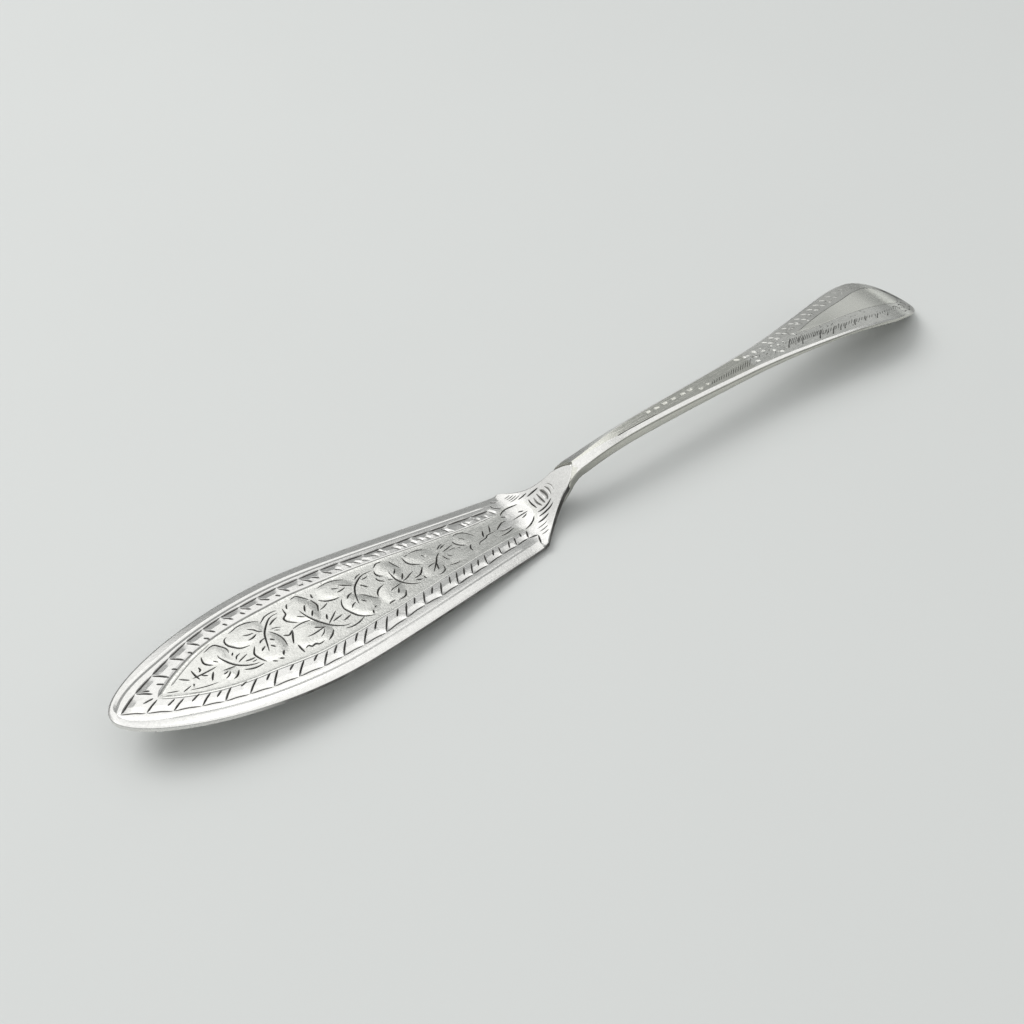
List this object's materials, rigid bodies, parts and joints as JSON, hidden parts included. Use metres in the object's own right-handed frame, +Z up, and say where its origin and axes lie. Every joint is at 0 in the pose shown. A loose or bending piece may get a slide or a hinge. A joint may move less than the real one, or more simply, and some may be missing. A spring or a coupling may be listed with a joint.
{
  "type": "butter knife",
  "caption": "Engraved table butter knife: flat leaf-shaped blade with a raised tip, cranked neck and slender handle with a flared, turned-down end.",
  "frame": {"origin": "middle of the length and width, on the table plane that the knife rests on", "axes": "+X from the tip of the blade to the end of the handle, +Z up from the table, the knife mirrors across the XZ plane"},
  "size_m": [0.1902, 0.0272, 0.0114],
  "materials": {
    "silver_blade": "polished silver with bright-cut engraving",
    "silver_handle": "polished silver with bright-cut engraving",
    "silver_solder": "dull hard solder"
  },
  "bodies": {
    "root": {"blade": "silver_blade", "handle": "silver_handle", "solder_seam": "silver_solder"}
  },
  "joints": []
}
